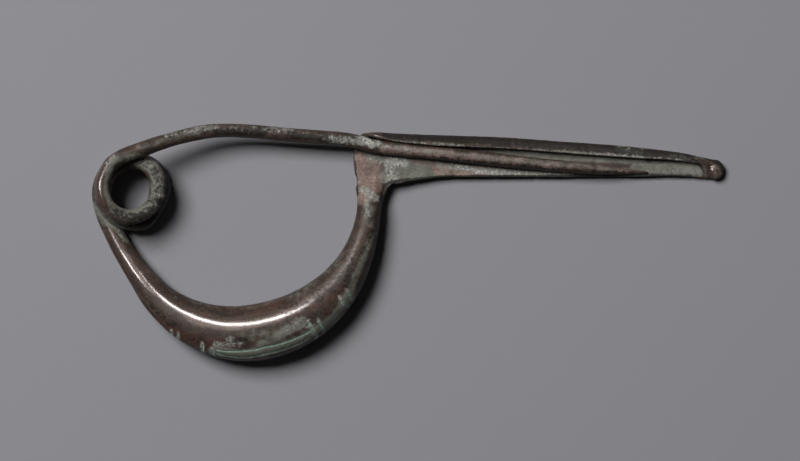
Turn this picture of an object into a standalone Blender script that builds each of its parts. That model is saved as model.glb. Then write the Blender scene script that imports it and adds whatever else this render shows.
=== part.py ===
"""Leech-bow fibula brooch, one forging of bronze, modelled as it lies on its side.

Run with: blender --background --python part.py

The bow, the spring coil and the pin are one run of metal with a round section
whose thickness changes along the way.  The foot is a sheet that the same metal
was hammered out to: a flat plate, folded over along its far edge into a trough
that the pin's point lies in, and closed by a small knob.

Tables of stations are in millimetres; everything built from them is in metres.
+X runs along the foot, +Y from the bow to the pin, +Z up from the surface the
brooch lies on.  It rests on three worn flats at z = 0: belly, coil and knob.
"""
import math

import bpy
import bmesh
import numpy as np
from mathutils import Vector

MM = 0.001
NAME = "fibula"

# Bow: centre line from the plate, along the belly, to the coil, slightly flattened
# (x, y, z, half width, half height).
BOW_STATIONS = [
    (-6.75, 10.9, 2.00, 2.55, 0.24),
    (-6.75, 10.0, 2.08, 2.50, 0.42),
    (-6.75, 9.2, 2.25, 2.38, 0.78),
    (-6.76, 8.2, 2.50, 2.18, 1.22),
    (-6.78, 7.0, 2.75, 2.05, 1.60),
    (-6.84, 5.9, 3.05, 2.02, 1.83),
    (-7.4, 2.2, 3.35, 2.15, 2.08),
    (-8.7, -1.9, 3.58, 2.60, 2.42),
    (-10.8, -5.8, 3.68, 3.25, 2.88),
    (-14.0, -9.5, 3.70, 3.95, 3.32),
    (-18.4, -12.6, 3.74, 4.48, 3.66),
    (-23.7, -14.6, 3.76, 4.75, 3.82),
    (-29.8, -15.1, 3.70, 4.52, 3.68),
    (-36.5, -13.2, 3.50, 3.68, 3.12),
    (-41.6, -9.7, 3.05, 2.80, 2.50),
    (-45.3, -5.15, 2.55, 2.10, 1.98),
    (-49.0, 0.6, 1.98, 1.68, 1.66),
]

# Spring coil: two hand-wound, uneven turns round an upright centre, from bow to pin
# (degrees round the centre, distance from it, height, wire radius).
COIL_CENTRE = (-46.37, 8.63)
COIL_STATIONS = [
    (203, 5.45, 1.66, 1.64),
    (180, 5.22, 1.60, 1.62),
    (150, 5.10, 1.54, 1.61),
    (90, 5.00, 1.53, 1.60),
    (40, 4.95, 1.66, 1.58),
    (0, 4.78, 2.10, 1.56),
    (-30, 4.52, 2.40, 1.54),
    (-50, 4.80, 2.58, 1.53),
    (-70, 5.30, 2.78, 1.52),
    (-90, 5.20, 3.10, 1.50),
    (-120, 5.00, 3.90, 1.48),
    (-140, 4.97, 4.45, 1.48),
    (-155, 4.95, 4.74, 1.48),
    (-180, 4.93, 4.82, 1.48),
    (-210, 4.90, 4.82, 1.47),
    (-270, 4.95, 4.84, 1.47),
    (-310, 5.00, 5.22, 1.46),
    (-340, 4.68, 5.62, 1.43),
    (-365, 4.30, 5.82, 1.37),
    (-385, 4.27, 5.92, 1.27),
    (-405, 4.22, 6.02, 1.22),
    (-430, 4.25, 6.25, 1.30),
    (-450, 4.37, 6.50, 1.33),
    (-467, 4.45, 6.85, 1.31),
    (-485, 4.52, 7.20, 1.29),
    (-506, 4.58, 7.50, 1.27),
    (-530, 4.56, 7.68, 1.25),
    (-553, 4.84, 7.66, 1.24),
]
COIL_STEPS_PER_GAP = 8
COIL_ROWS = 43

# Pin: centre line from the coil to the point (x, y, z, radius).
PIN_STATIONS = [
    (-50.6, 11.2, 7.66, 1.24),
    (-49.6, 12.85, 7.65, 1.26),
    (-47.9, 14.1, 7.60, 1.27),
    (-45.5, 15.1, 7.36, 1.28),
    (-43.0, 16.0, 6.85, 1.27),
    (-41.3, 16.6, 6.45, 1.22),
    (-39.7, 17.1, 6.08, 1.18),
    (-38.05, 17.55, 5.74, 1.18),
    (-36.4, 17.95, 5.45, 1.21),
    (-34.8, 18.3, 5.19, 1.21),
    (-31.1, 18.65, 4.68, 1.16),
    (-26.5, 18.5, 4.18, 1.15),
    (-21.5, 18.05, 3.85, 1.17),
    (-16.6, 17.65, 3.68, 1.18),
    (-8.9, 16.82, 3.52, 1.16),
    (-6.7, 16.18, 3.40, 1.16),
    (-1.7, 15.55, 3.15, 1.15),
    (5.0, 14.9, 2.88, 1.15),
    (11.7, 14.15, 2.68, 1.14),
    (18.3, 13.4, 2.48, 1.08),
    (25.0, 12.75, 2.28, 0.98),
    (31.7, 12.15, 2.02, 0.80),
    (35.9, 11.9, 1.72, 0.54),
    (39.8, 11.7, 1.36, 0.15),
]

# Foot: cross sections from the plate's free edge to the knob (x, far edge y, near
# edge y, fold half width, fold half height, fold end angle, floor z, near edge z).
FOOT_STATIONS = [
    (-9.6, 18.1, 5.6, 2.05, 1.42, -40, 1.72, 2.40),
    (-7.8, 18.3, 5.2, 2.05, 1.42, 5, 1.68, 2.42),
    (-4.8, 18.4, 5.6, 2.05, 1.42, 52, 1.62, 2.40),
    (-4.2, 18.35, 8.0, 2.05, 1.42, 55, 1.60, 2.32),
    (-3.6, 18.3, 9.2, 2.05, 1.42, 58, 1.58, 2.22),
    (-1.7, 18.2, 9.9, 2.05, 1.42, 63, 1.51, 2.02),
    (1.7, 18.05, 10.5, 2.05, 1.40, 70, 1.38, 1.68),
    (5.0, 17.95, 10.9, 2.03, 1.34, 75, 1.26, 1.42),
    (9.5, 17.82, 10.95, 2.00, 1.08, 77, 1.12, 1.22),
    (14.7, 17.65, 10.95, 1.97, 0.88, 78, 1.00, 1.10),
    (24.7, 16.95, 10.95, 1.90, 0.74, 80, 0.84, 0.94),
    (38.3, 15.9, 11.0, 1.60, 0.68, 86, 0.70, 0.80),
    (45.7, 14.95, 11.05, 1.25, 0.66, 78, 0.66, 0.75),
    (49.8, 14.05, 11.0, 1.00, 0.64, 70, 0.66, 0.78),
]
SHEET_THICKNESS = 0.65
FOLD_STEPS = 10
FLOOR_STEPS = 5
EDGE_BULGE = 0.035
EDGE_BULGE_Y = 12.9
EDGE_BULGE_REACH = 4.0

# Terminal knob (centre, half sizes) and the depth of the worn flats.
KNOB_CENTRE = (51.1, 12.2, 1.12)
KNOB_HALF_SIZES = (1.58, 1.78, 1.20)
KNOB_SEGMENTS = 18

BRONZE_COLOUR = (0.085, 0.066, 0.055, 1.0)


def clear_scene():
    for old in list(bpy.data.objects):
        bpy.data.objects.remove(old, do_unlink=True)


def make_collection(name):
    collection = bpy.data.collections.new(name)
    bpy.context.scene.collection.children.link(collection)
    return collection


def bronze_material():
    material = bpy.data.materials.new("dark_bronze")
    material.use_nodes = True
    shader = material.node_tree.nodes["Principled BSDF"]
    shader.inputs["Base Color"].default_value = BRONZE_COLOUR
    shader.inputs["Metallic"].default_value = 0.75
    shader.inputs["Roughness"].default_value = 0.42
    return material


def smooth_run(stations, steps, place_size=3):
    """Rows of a smooth curve through the stations, steps rows to each gap.

    The first place_size columns are a position, whose distances set the pace.
    """
    rows = np.array(stations, dtype=float)
    chords = np.linalg.norm(np.diff(rows[:, :place_size], axis=0), axis=1)
    slopes = np.diff(rows, axis=0) / chords[:, None]
    tangents = np.empty_like(rows)
    tangents[0] = slopes[0]
    tangents[-1] = slopes[-1]
    before = chords[:-1, None]
    after = chords[1:, None]
    tangents[1:-1] = (slopes[:-1] * after + slopes[1:] * before) / (before + after)
    curve = []
    for index, chord in enumerate(chords):
        for step in range(steps[index]):
            t = step / steps[index]
            curve.append(
                rows[index] * (1 + 2 * t) * (1 - t) ** 2
                + tangents[index] * chord * t * (1 - t) ** 2
                + rows[index + 1] * t * t * (3 - 2 * t)
                - tangents[index + 1] * chord * t * t * (1 - t))
    curve.append(rows[-1])
    return curve


def coil_stations():
    """Centre line and radius of the spring, from the bow to the pin."""
    steps = [COIL_STEPS_PER_GAP] * (len(COIL_STATIONS) - 1)
    run = np.array(smooth_run(COIL_STATIONS, steps, place_size=1))
    degrees = run[:, 0]
    stations = []
    for turned in np.linspace(degrees[0], degrees[-1], COIL_ROWS):
        reach, height, radius = (np.interp(-turned, -degrees, column) for column in run.T[1:])
        angle = math.radians(turned)
        x = COIL_CENTRE[0] + reach * math.cos(angle)
        y = COIL_CENTRE[1] + reach * math.sin(angle)
        stations.append((x, y, height, radius, radius))
    return stations


def add_round_bar(collection):
    """Bow, coil and pin as one tube of changing radius, turned into a mesh."""
    coil = coil_stations()
    pin = [(x, y, z, radius, radius) for x, y, z, radius in PIN_STATIONS]
    stations = BOW_STATIONS + coil + pin
    steps = [4] * len(BOW_STATIONS) + [1] * (len(coil) - 1) + [3] * len(PIN_STATIONS)
    rows = smooth_run(stations, steps)
    data = bpy.data.curves.new("round_bar", "CURVE")
    data.dimensions = "3D"
    data.bevel_depth = MM
    data.bevel_resolution = 8
    spline = data.splines.new("POLY")
    spline.points.add(len(rows) - 1)
    for point, (x, y, z, half_width, _) in zip(spline.points, rows):
        point.co = (x * MM, y * MM, z * MM, 1.0)
        point.radius = half_width
    curve = bpy.data.objects.new("round_bar", data)
    collection.objects.link(curve)

    evaluated = curve.evaluated_get(bpy.context.evaluated_depsgraph_get())
    mesh = bpy.data.meshes.new_from_object(evaluated)
    mesh.name = NAME
    ring_size = len(mesh.vertices) // len(rows)
    for vertex in mesh.vertices:
        _, _, z, half_width, half_height = rows[vertex.index // ring_size]
        vertex.co.z = z * MM + (vertex.co.z - z * MM) * half_height / half_width
    weld = bmesh.new()
    weld.from_mesh(mesh)
    bmesh.ops.holes_fill(weld, edges=weld.edges)
    bmesh.ops.recalc_face_normals(weld, faces=weld.faces)
    weld.to_mesh(mesh)
    weld.free()
    bar = bpy.data.objects.new(NAME, mesh)
    bar.matrix_world = curve.matrix_world
    collection.objects.link(bar)
    bpy.data.objects.remove(curve, do_unlink=True)
    return bar


def foot_section(row):
    """Middle line of the sheet at one cross section, from near edge to fold end."""
    x, far_y, near_y, fold, fold_high, end_degrees, floor_z, near_z = row
    fold_y = far_y - fold - SHEET_THICKNESS / 2
    points = []
    for step in range(FLOOR_STEPS):
        share = step / FLOOR_STEPS
        points.append((near_y + (fold_y - near_y) * share, near_z + (floor_z - near_z) * share))
    for step in range(FOLD_STEPS + 1):
        angle = math.radians(-90 + (end_degrees + 90) * step / FOLD_STEPS)
        height = floor_z + fold_high * (1 + math.sin(angle))
        points.append((fold_y + fold * math.cos(angle), height))
    first_x = FOOT_STATIONS[0][0]
    fade = max(0.0, 1.0 - (x - first_x) / EDGE_BULGE_REACH)
    section = []
    for y, z in points:
        shift = EDGE_BULGE * (y - EDGE_BULGE_Y) ** 2 * fade
        section.append(Vector((x + shift, y, z)) * MM)
    return section


def add_foot_sheet(collection):
    """Plate and trough: a loft through the sections, thickened both ways."""
    rows = smooth_run(FOOT_STATIONS, [2] * (len(FOOT_STATIONS) - 1), place_size=1)
    bm = bmesh.new()
    grid = [[bm.verts.new(point) for point in foot_section(row)] for row in rows]
    for left, right in zip(grid, grid[1:]):
        for index in range(len(left) - 1):
            bm.faces.new((left[index], right[index], right[index + 1], left[index + 1]))
    mesh = bpy.data.meshes.new("foot_sheet")
    bm.to_mesh(mesh)
    bm.free()
    sheet = bpy.data.objects.new("foot_sheet", mesh)
    collection.objects.link(sheet)
    thick = sheet.modifiers.new("thickness", "SOLIDIFY")
    thick.thickness = SHEET_THICKNESS * MM
    thick.offset = 0.0
    thick.use_even_offset = True
    return sheet


def add_knob(collection):
    bpy.ops.mesh.primitive_uv_sphere_add(
        segments=KNOB_SEGMENTS, ring_count=KNOB_SEGMENTS // 2 + 1, radius=MM,
        location=Vector(KNOB_CENTRE) * MM)
    knob = bpy.context.object
    knob.name = "knob"
    knob.scale = KNOB_HALF_SIZES
    return move_to(knob, collection)


def add_ground_block(collection):
    """A block below z = 0 that trims the three places the brooch rests on."""
    size = 0.2
    bpy.ops.mesh.primitive_cube_add(size=size, location=(0.0, 0.0, -size / 2))
    block = bpy.context.object
    block.name = "ground_block"
    return move_to(block, collection)


def move_to(item, collection):
    for owner in list(item.users_collection):
        owner.objects.unlink(item)
    collection.objects.link(item)
    return item


def combine(target, other, operation):
    boolean = target.modifiers.new(f"{operation.lower()} {other.name}", "BOOLEAN")
    boolean.operation = operation
    boolean.object = other
    boolean.solver = "EXACT"
    other.hide_render = True
    other.display_type = "WIRE"


def main():
    clear_scene()
    parts = make_collection("fibula_brooch")
    cutters = make_collection("fibula_cutters")
    fibula = add_round_bar(parts)
    combine(fibula, add_foot_sheet(cutters), "UNION")
    combine(fibula, add_knob(cutters), "UNION")
    combine(fibula, add_ground_block(cutters), "DIFFERENCE")
    fibula.data.materials.append(bronze_material())
    fibula.data.shade_smooth()
    fibula.data.set_sharp_from_angle(angle=math.radians(40))


main()
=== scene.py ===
import math

import bpy
import bmesh
import numpy as np
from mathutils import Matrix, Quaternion, Vector, noise
from mathutils.kdtree import KDTree


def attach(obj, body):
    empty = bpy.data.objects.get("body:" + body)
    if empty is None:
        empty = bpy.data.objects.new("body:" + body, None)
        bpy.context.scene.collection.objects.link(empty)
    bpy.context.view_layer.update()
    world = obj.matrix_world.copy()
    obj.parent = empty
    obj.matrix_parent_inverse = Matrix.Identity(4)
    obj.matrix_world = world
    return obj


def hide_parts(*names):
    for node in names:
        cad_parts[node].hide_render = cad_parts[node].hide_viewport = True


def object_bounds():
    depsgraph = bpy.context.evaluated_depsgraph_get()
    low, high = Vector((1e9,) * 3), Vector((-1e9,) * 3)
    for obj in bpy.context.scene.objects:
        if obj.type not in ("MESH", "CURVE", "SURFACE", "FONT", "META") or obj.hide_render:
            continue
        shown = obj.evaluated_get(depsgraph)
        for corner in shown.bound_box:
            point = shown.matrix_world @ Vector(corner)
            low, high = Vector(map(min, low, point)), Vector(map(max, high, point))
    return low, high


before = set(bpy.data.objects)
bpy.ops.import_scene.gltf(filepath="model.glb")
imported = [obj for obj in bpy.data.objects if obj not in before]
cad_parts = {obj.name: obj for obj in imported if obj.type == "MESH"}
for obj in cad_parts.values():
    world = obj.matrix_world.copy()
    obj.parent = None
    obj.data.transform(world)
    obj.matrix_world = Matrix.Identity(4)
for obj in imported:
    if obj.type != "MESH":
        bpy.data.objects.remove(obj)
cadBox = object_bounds()
scene = bpy.context.scene
scene.view_settings.view_transform = "Standard"
mm = 0.001  # every table is in millimetres
weldReach = 0.00001  # points closer than this are one
print("frame loaded")


# curves that the metal follows

def smoothRun(stations, perGap, placeSize=3):
    # rows of a smooth curve through the stations; the first placeSize columns set the pace
    rows = np.array(stations, dtype=float)
    chords = np.linalg.norm(np.diff(rows[:, :placeSize], axis=0), axis=1)
    slopes = np.diff(rows, axis=0) / chords[:, None]
    tangents = np.vstack((slopes[:1], slopes))
    before, after = chords[:-1, None], chords[1:, None]
    tangents[1:-1] = (slopes[:-1] * after + slopes[1:] * before) / (before + after)
    curve = []
    for index, chord in enumerate(chords):
        for t in np.arange(perGap) / perGap:
            curve.append(
                rows[index] * (1 + 2 * t) * (1 - t) ** 2
                + tangents[index] * chord * t * (1 - t) ** 2
                + rows[index + 1] * t * t * (3 - 2 * t)
                - tangents[index + 1] * chord * t * t * (1 - t))
    curve.append(rows[-1])
    return np.array(curve)


def lengthsAlong(rows):
    return np.concatenate(([0.0], np.cumsum(np.linalg.norm(np.diff(rows[:, :3], axis=0), axis=1))))


def rowsAt(run, marks):
    along = lengthsAlong(run)
    return np.column_stack([np.interp(marks, along, column) for column in run.T])


def bentGrid(bm, places):
    # a flat grid whose points are moved to places[row][column]
    rowCount, columnCount = places.shape[:2]
    points = bmesh.ops.create_grid(
        bm, x_segments=rowCount - 1, y_segments=columnCount - 1, size=0.5)["verts"]
    for index, point in enumerate(points):
        point.co = places[index % rowCount, index // rowCount]
    return points


def tubePlaces(rows, angles, sink=0.0):
    # rows are x, y, z, half width, half height; angle 0 points out of the bow, a quarter turn up
    ahead = np.gradient(rows[:, :3], axis=0)
    ahead /= np.linalg.norm(ahead, axis=1)[:, None]
    up = np.array([0.0, 0.0, 1.0]) - ahead * ahead[:, 2:3]
    up /= np.linalg.norm(up, axis=1)[:, None]
    out = np.cross(up, ahead)
    wide = (rows[:, 3, None] - sink) * np.cos(angles)
    high = (rows[:, 4, None] - sink) * np.sin(angles)
    return rows[:, None, :3] + out[:, None] * wide[..., None] + up[:, None] * high[..., None]


def newPiece(name, bm):
    bmesh.ops.recalc_face_normals(bm, faces=bm.faces)
    mesh = bpy.data.meshes.new(name)
    bm.to_mesh(mesh)
    bm.free()
    piece = bpy.data.objects.new(name, mesh)
    scene.collection.objects.link(piece)
    return piece


def bakeModifiers(piece):
    evaluated = piece.evaluated_get(bpy.context.evaluated_depsgraph_get())
    mesh = bpy.data.meshes.new_from_object(evaluated)
    piece.modifiers.clear()
    piece.data = mesh


# bow, spring and pin: one wire

bow = {
    "stations": [  # x, y, z, half width, half height
        (-6.75, 10.9, 2.00, 2.55, 0.24),
        (-6.75, 10.0, 2.08, 2.50, 0.42),
        (-6.75, 9.2, 2.25, 2.38, 0.78),
        (-6.76, 8.2, 2.50, 2.18, 1.22),
        (-6.78, 7.0, 2.75, 2.05, 1.60),
        (-6.84, 5.9, 3.05, 2.02, 1.83),
        (-7.4, 2.2, 3.35, 2.15, 2.08),
        (-8.7, -1.9, 3.58, 2.60, 2.42),
        (-10.8, -5.8, 3.68, 3.25, 2.88),
        (-14.0, -9.5, 3.70, 3.95, 3.32),
        (-18.4, -12.6, 3.74, 4.48, 3.66),
        (-23.7, -14.6, 3.76, 4.75, 3.82),
        (-29.8, -15.1, 3.70, 4.52, 3.68),
        (-36.5, -13.2, 3.50, 3.68, 3.12),
        (-41.6, -9.7, 3.05, 2.80, 2.50),
        (-45.3, -5.15, 2.55, 2.10, 1.98),
        (-49.0, 0.6, 1.98, 1.68, 1.66),
    ],
    "zeroStation": 5,  # distances along the bow count from here
    "sides": 108,
    "spacing": 0.34,
}
ornament = {
    "rings": [  # distance along the bow, then how far up the side it reaches in degrees
        (14.3, 62), (15.7, 60), (20.5, 66), (21.8, 77),
        (36.9, 44), (38.4, 47), (42.4, 36), (43.4, 33),
    ],
    "ringHalfWidth": 0.27,
    "ringDepth": 0.13,
    "ringFade": 0.5,
    "ringSteps": (-1.4, -1, -0.5, 0, 0.5, 1, 1.4),  # mesh rings across one cut, in half widths
    "ringClearance": 0.12,
    "lines": [  # start, end, angle at five even places from start to end
        (22.2, 36.3, (51, 54, 56, 51, 45)),
        (22.9, 36.3, (33, 36, 37, 29, 32)),
    ],
    "lineHalfWidth": 0.22,
    "lineDepth": 0.11,
    "lineFade": 0.6,
    "lineFlank": 0.6,  # depth of the sloping side against the middle
    "lineShoulder": 1.3,  # outermost mesh line beside a cut, in half widths
    "steepness": 1.25,  # over 1 leaves a flat bottom
    "greenFill": 2.5,  # how far verdigris climbs the sides of a cut
}
spring = {
    "centre": (-46.37, 8.63),
    "turns": [  # degrees round the centre, reach, height, wire radius
        (203, 5.45, 1.66, 1.64),
        (180, 5.22, 1.60, 1.62),
        (150, 5.10, 1.54, 1.61),
        (90, 5.00, 1.53, 1.60),
        (40, 4.95, 1.66, 1.58),
        (0, 4.78, 2.10, 1.56),
        (-30, 4.52, 2.40, 1.54),
        (-50, 4.80, 2.58, 1.53),
        (-70, 5.30, 2.78, 1.52),
        (-90, 5.20, 3.10, 1.50),
        (-120, 5.00, 3.90, 1.48),
        (-140, 4.97, 4.45, 1.48),
        (-155, 4.95, 4.74, 1.48),
        (-180, 4.93, 4.82, 1.48),
        (-210, 4.90, 4.82, 1.47),
        (-270, 4.95, 4.84, 1.47),
        (-310, 5.00, 5.22, 1.46),
        (-340, 4.68, 5.62, 1.43),
        (-365, 4.30, 5.82, 1.37),
        (-385, 4.27, 5.92, 1.27),
        (-405, 4.22, 6.02, 1.22),
        (-430, 4.25, 6.25, 1.30),
        (-450, 4.37, 6.50, 1.33),
        (-467, 4.45, 6.85, 1.31),
        (-485, 4.52, 7.20, 1.29),
        (-506, 4.58, 7.50, 1.27),
        (-530, 4.56, 7.68, 1.25),
        (-553, 4.84, 7.66, 1.24),
    ],
    "perGap": 8,
    "perTurn": 24,
    "sides": 44,
    "spacing": 0.32,
}
pin = {
    "stations": [  # x, y, z, radius
        (-50.6, 11.2, 7.66, 1.24),
        (-49.6, 12.85, 7.65, 1.26),
        (-47.9, 14.1, 7.60, 1.27),
        (-45.5, 15.1, 7.36, 1.28),
        (-43.0, 16.0, 6.85, 1.27),
        (-41.3, 16.6, 6.45, 1.22),
        (-39.7, 17.1, 6.08, 1.18),
        (-38.05, 17.55, 5.74, 1.18),
        (-36.4, 17.95, 5.45, 1.21),
        (-34.8, 18.3, 5.19, 1.21),
        (-31.1, 18.65, 4.68, 1.16),
        (-26.5, 18.5, 4.18, 1.15),
        (-21.5, 18.05, 3.85, 1.17),
        (-16.6, 17.65, 3.68, 1.18),
        (-8.9, 16.82, 3.52, 1.16),
        (-6.7, 16.18, 3.40, 1.16),
        (-1.7, 15.55, 3.15, 1.15),
        (5.0, 14.9, 2.88, 1.15),
        (11.7, 14.15, 2.68, 1.14),
        (18.3, 13.4, 2.48, 1.08),
        (25.0, 12.75, 2.28, 0.98),
        (31.7, 12.15, 2.02, 0.80),
        (35.9, 11.9, 1.72, 0.54),
        (39.8, 11.7, 1.36, 0.15),
    ],
    "sides": 34,
    "spacing": 0.36,
}
wire = {  # bow, spring and pin together
    "perGap": 24,  # curve points between two stations
    "joint": 0.3,  # gap that is bridged where the number of sides changes
    "jointReach": 0.3,
}


def springStations():
    run = smoothRun(spring["turns"], spring["perGap"], placeSize=1)
    degrees = run[:, 0]
    count = round(abs(degrees[-1] - degrees[0]) / 360 * spring["perTurn"])
    even = np.linspace(degrees[0], degrees[-1], count + 1)
    reach, height, radius = (np.interp(-even, -degrees, column) for column in run.T[1:])
    x = spring["centre"][0] + reach * np.cos(np.radians(even))
    y = spring["centre"][1] + reach * np.sin(np.radians(even))
    return [tuple(row) for row in np.column_stack((x, y, height, radius, radius))]


def ringMarks(marks, zero):
    # close rings at each incised ring, so that its walls are real faces
    half = ornament["ringHalfWidth"]
    close = [zero + place + half * step
             for place, reach in ornament["rings"] for step in ornament["ringSteps"]]
    clearance = ornament["ringClearance"]
    clear = [mark for mark in marks if min(abs(mark - other) for other in close) > clearance]
    return np.array(sorted(clear + close))


def bowAngles(marks, rows, zero):
    # section angles: even all round, but drawn together at the incised lines
    sides = bow["sides"]
    even = np.arange(sides + 1) * math.tau / sides
    angles = np.tile(even, (len(marks), 1))
    cutLines = []
    for side in (1, -1):
        for start, end, turn in ornament["lines"]:
            middle = round(side * float(np.mean(turn)) / 360 * sides) % sides
            cutLines.append((middle, side, start, end, turn))
    for row, mark in enumerate(marks):
        columns, places = [0, sides], [0.0, math.tau]
        for middle, side, start, end, turn in cutLines:
            share = np.clip((mark - zero - start) / (end - start), 0, 1)
            degrees = float(np.interp(share, np.linspace(0, 1, len(turn)), turn))
            at = math.radians(degrees) * side % math.tau
            half = ornament["lineHalfWidth"] / rows[row, 3]
            for step in (-2, -1, 0, 1, 2):
                spread = ornament["lineShoulder"] if abs(step) == 2 else 1
                columns.append(middle + step)
                places.append(at + half * step / 2 * spread)
        order = np.argsort(columns)
        columns, places = np.array(columns)[order], np.array(places)[order]
        angles[row] = np.interp(np.arange(sides + 1), columns, places)
    return angles, cutLines


def groove(distance, halfWidth):
    steepness = ornament["steepness"]
    return np.clip(steepness - np.abs(distance) / halfWidth * steepness, 0, 1)


def incisedDepth(marks, angles, rows, zero, cutLines):
    # 0 to 1 in each incised line, for the cut and for the green that fills it
    cut = np.zeros(angles.shape)
    folded = np.abs((angles + math.pi) % math.tau - math.pi)
    for place, reach in ornament["rings"]:
        inside = (math.radians(reach) - folded) * rows[:, 3, None]
        fade = np.clip(inside / ornament["ringFade"], 0, 1)
        ring = groove(marks - zero - place, ornament["ringHalfWidth"])
        cut = np.maximum(cut, ring[:, None] * fade)
    ringCut = cut.copy()
    flank = ornament["lineFlank"]
    for middle, side, start, end, turn in cutLines:
        inside = np.minimum(marks - zero - start, zero + end - marks)
        inside = np.clip(inside / ornament["lineFade"] + 0.5, 0, 1)
        for step, share in ((-1, flank), (0, 1.0), (1, flank)):
            column = (middle + step) % bow["sides"]
            cut[:, column] = np.maximum(cut[:, column], inside * share)
    return cut, ringCut


def joinTubes(bm, centre, reach):
    edges = [e for e in bm.edges if e.is_boundary
             and ((e.verts[0].co + e.verts[1].co) / 2 - Vector(centre)).length < reach]
    bmesh.ops.bridge_loops(bm, edges=edges)


def makeWire():
    springRows = springStations()
    pinRows = [(x, y, z, radius, radius) for x, y, z, radius in pin["stations"]]
    perGap, joint = wire["perGap"], wire["joint"]
    run = smoothRun(bow["stations"] + springRows + pinRows, perGap)
    along = lengthsAlong(run)
    zero = along[perGap * bow["zeroStation"]]
    bowEnd = along[perGap * (len(bow["stations"]) - 1)]
    springEnd = along[perGap * (len(bow["stations"]) + len(springRows) - 1)]

    bm = bmesh.new()
    incised = bm.verts.layers.float.new("incised")
    marks = ringMarks(np.linspace(0, bowEnd, round(bowEnd / bow["spacing"])), zero)
    rows = rowsAt(run, marks)
    angles, cutLines = bowAngles(marks, rows, zero)
    cut, ringCut = incisedDepth(marks, angles, rows, zero, cutLines)
    sink = np.maximum(ringCut * ornament["ringDepth"], cut * ornament["lineDepth"])
    points = bentGrid(bm, tubePlaces(rows, angles, sink))
    for index, point in enumerate(points):
        point[incised] = cut[index % len(rows), index // len(rows)]

    stretches = ((bowEnd + joint, springEnd, spring), (springEnd + joint, along[-1], pin))
    for start, end, shape in stretches:
        marks = np.linspace(start, end, round((end - start) / shape["spacing"]))
        angles = np.arange(shape["sides"] + 1) * math.tau / shape["sides"]
        bentGrid(bm, tubePlaces(rowsAt(run, marks), np.tile(angles, (len(marks), 1))))
    bmesh.ops.remove_doubles(bm, verts=bm.verts, dist=weldReach)
    for place in (bowEnd, springEnd):
        row = rowsAt(run, [place + joint / 2])[0]
        joinTubes(bm, row[:3], row[3] + wire["jointReach"])
    bmesh.ops.holes_fill(bm, edges=[e for e in bm.edges if e.is_boundary])
    return newPiece("wire", bm)


# foot: plate folded into a trough

foot = {
    # x, far edge y, near edge y, fold half width and half height, end angle, floor z, near z
    "stations": [
        (-9.6, 18.1, 5.6, 2.05, 1.42, -40, 1.72, 2.40),
        (-7.8, 18.3, 5.2, 2.05, 1.42, 5, 1.68, 2.42),
        (-4.8, 18.4, 5.6, 2.05, 1.42, 52, 1.62, 2.40),
        (-4.2, 18.35, 8.0, 2.05, 1.42, 55, 1.60, 2.32),
        (-3.6, 18.3, 9.2, 2.05, 1.42, 58, 1.58, 2.22),
        (-1.7, 18.2, 9.9, 2.05, 1.42, 63, 1.51, 2.02),
        (1.7, 18.05, 10.5, 2.05, 1.40, 70, 1.38, 1.68),
        (5.0, 17.95, 10.9, 2.03, 1.34, 75, 1.26, 1.42),
        (9.5, 17.82, 10.95, 2.00, 1.08, 77, 1.12, 1.22),
        (14.7, 17.65, 10.95, 1.97, 0.88, 78, 1.00, 1.10),
        (24.7, 16.95, 10.95, 1.90, 0.74, 80, 0.84, 0.94),
        (38.3, 15.9, 11.0, 1.60, 0.68, 86, 0.70, 0.80),
        (45.7, 14.95, 11.05, 1.25, 0.66, 80, 0.66, 0.75),
        (48.2, 14.45, 10.90, 1.08, 0.64, 80, 0.66, 0.75),
        (49.8, 14.12, 10.66, 0.98, 0.60, 80, 0.66, 0.75),
        (50.9, 13.86, 10.95, 0.90, 0.50, 80, 0.68, 0.75),
    ],
    "thickness": 0.65,
    "perGap": 40,
    "spacing": 0.33,
    "foldPoints": 24,
    "acrossPoints": 54,
    "edgeHollow": 0.035,  # the free edge of the plate is a little hollow
    "edgeHollowY": 12.9,
    "edgeHollowReach": 4.0,
    "rimRound": 0.24,
    "rimSegments": 3,
    "rimAngle": 50,
}
knob = {
    "centre": (51.1, 12.2, 1.05),
    "halfSizes": (1.46, 1.66, 1.10),
    "segments": (40, 28),
    "collar": [  # ridge that closes the trough: x, y, z, radius
        (46.9, 14.35, 1.85, 0.28),
        (48.0, 13.95, 1.84, 0.42),
        (48.9, 13.40, 1.80, 0.54),
        (49.6, 12.7, 1.66, 0.58),
        (50.0, 11.9, 1.38, 0.52),
        (50.2, 11.05, 1.05, 0.38),
    ],
    "collarPerGap": 8,
    "collarSides": 18,
}


def footSection(row):
    x, farY, nearY, fold, foldHigh, endDegrees, floorZ, nearZ = row
    foldY = farY - fold - foot["thickness"] / 2
    turn = np.radians(np.linspace(-90, endDegrees, foot["foldPoints"]))
    y = np.concatenate(([nearY], foldY + fold * np.cos(turn)))
    z = np.concatenate(([nearZ], floorZ + foldHigh + foldHigh * np.sin(turn)))
    along = np.concatenate(([0.0], np.cumsum(np.hypot(np.diff(y), np.diff(z)))))
    even = np.linspace(0, along[-1], foot["acrossPoints"])
    y, z = np.interp(even, along, y), np.interp(even, along, z)
    fade = max(0.0, 1.0 - (x - foot["stations"][0][0]) / foot["edgeHollowReach"])
    hollow = foot["edgeHollow"] * (y - foot["edgeHollowY"]) ** 2 * fade
    return np.column_stack((x + hollow, y, z))


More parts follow.
